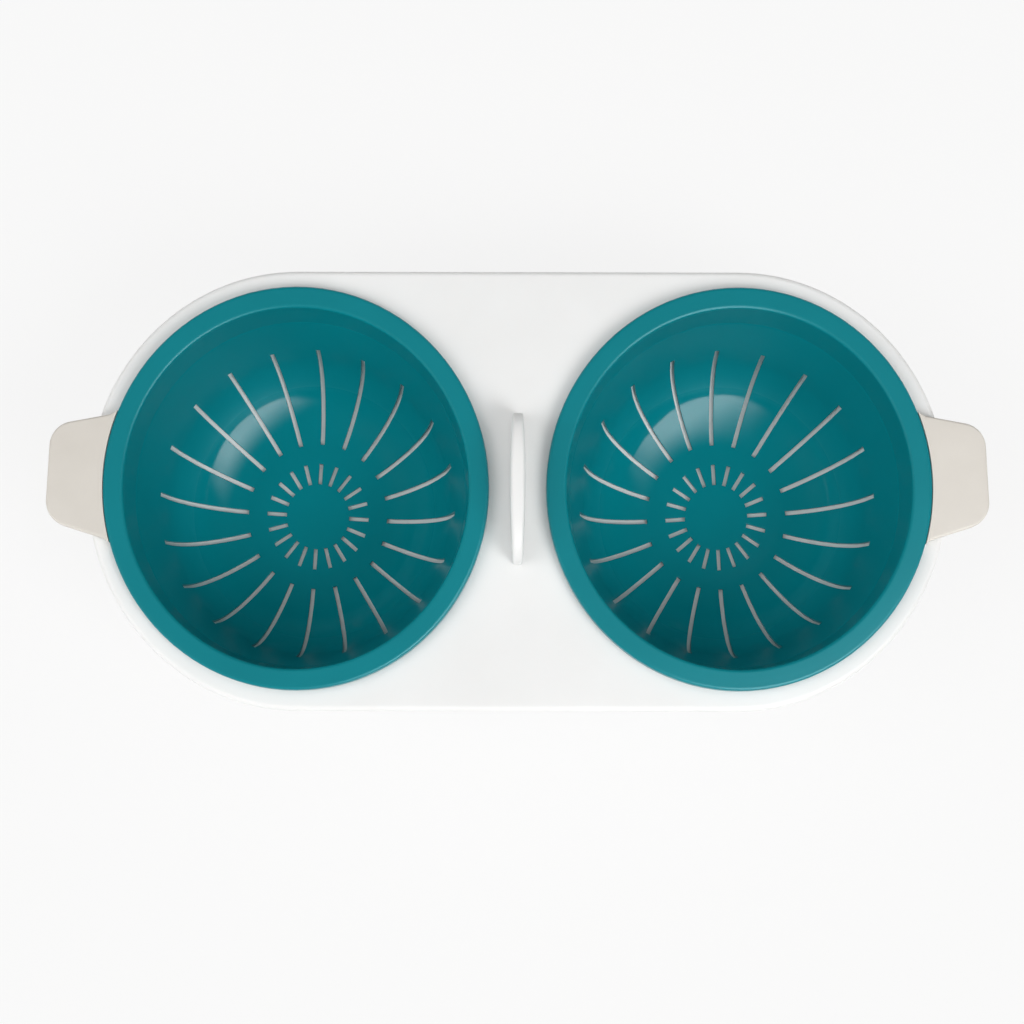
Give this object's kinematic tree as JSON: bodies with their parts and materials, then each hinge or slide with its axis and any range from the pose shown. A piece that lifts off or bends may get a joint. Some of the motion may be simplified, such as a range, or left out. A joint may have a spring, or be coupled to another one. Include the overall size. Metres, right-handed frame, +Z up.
{
  "type": "microwave egg poacher",
  "caption": "Capsule-shaped white microwave water tray with slightly oval, slotted teal egg pods that hang in close-fitting wells by their rims, flat stone-grey pod handles and an upright finger fin.",
  "frame": {"origin": "on the table, under the middle of the tray", "axes": "+X along the tray towards the right pod, +Y to the back, +Z up"},
  "size_m": [0.2442, 0.115, 0.0591],
  "materials": {
    "tray_white": "satin white polypropylene",
    "pod_teal": "polished teal polypropylene",
    "handle_stone": "fine matt stone-grey overmoulding"
  },
  "bodies": {
    "tray_body": {"tray": "tray_white", "lifting_fin": "tray_white"},
    "left_pod_body": {"left_pod": "pod_teal", "left_handle": "handle_stone"},
    "right_pod_body": {"right_pod": "pod_teal", "right_handle": "handle_stone"}
  },
  "joints": [
    {"name": "left_pod_lift", "type": "slide", "parent": "tray_body", "child": "left_pod_body", "axis": [0, 0, 1], "range_m": [0, 0.06]},
    {"name": "right_pod_lift", "type": "slide", "parent": "tray_body", "child": "right_pod_body", "axis": [0, 0, 1], "range_m": [0, 0.06]}
  ]
}
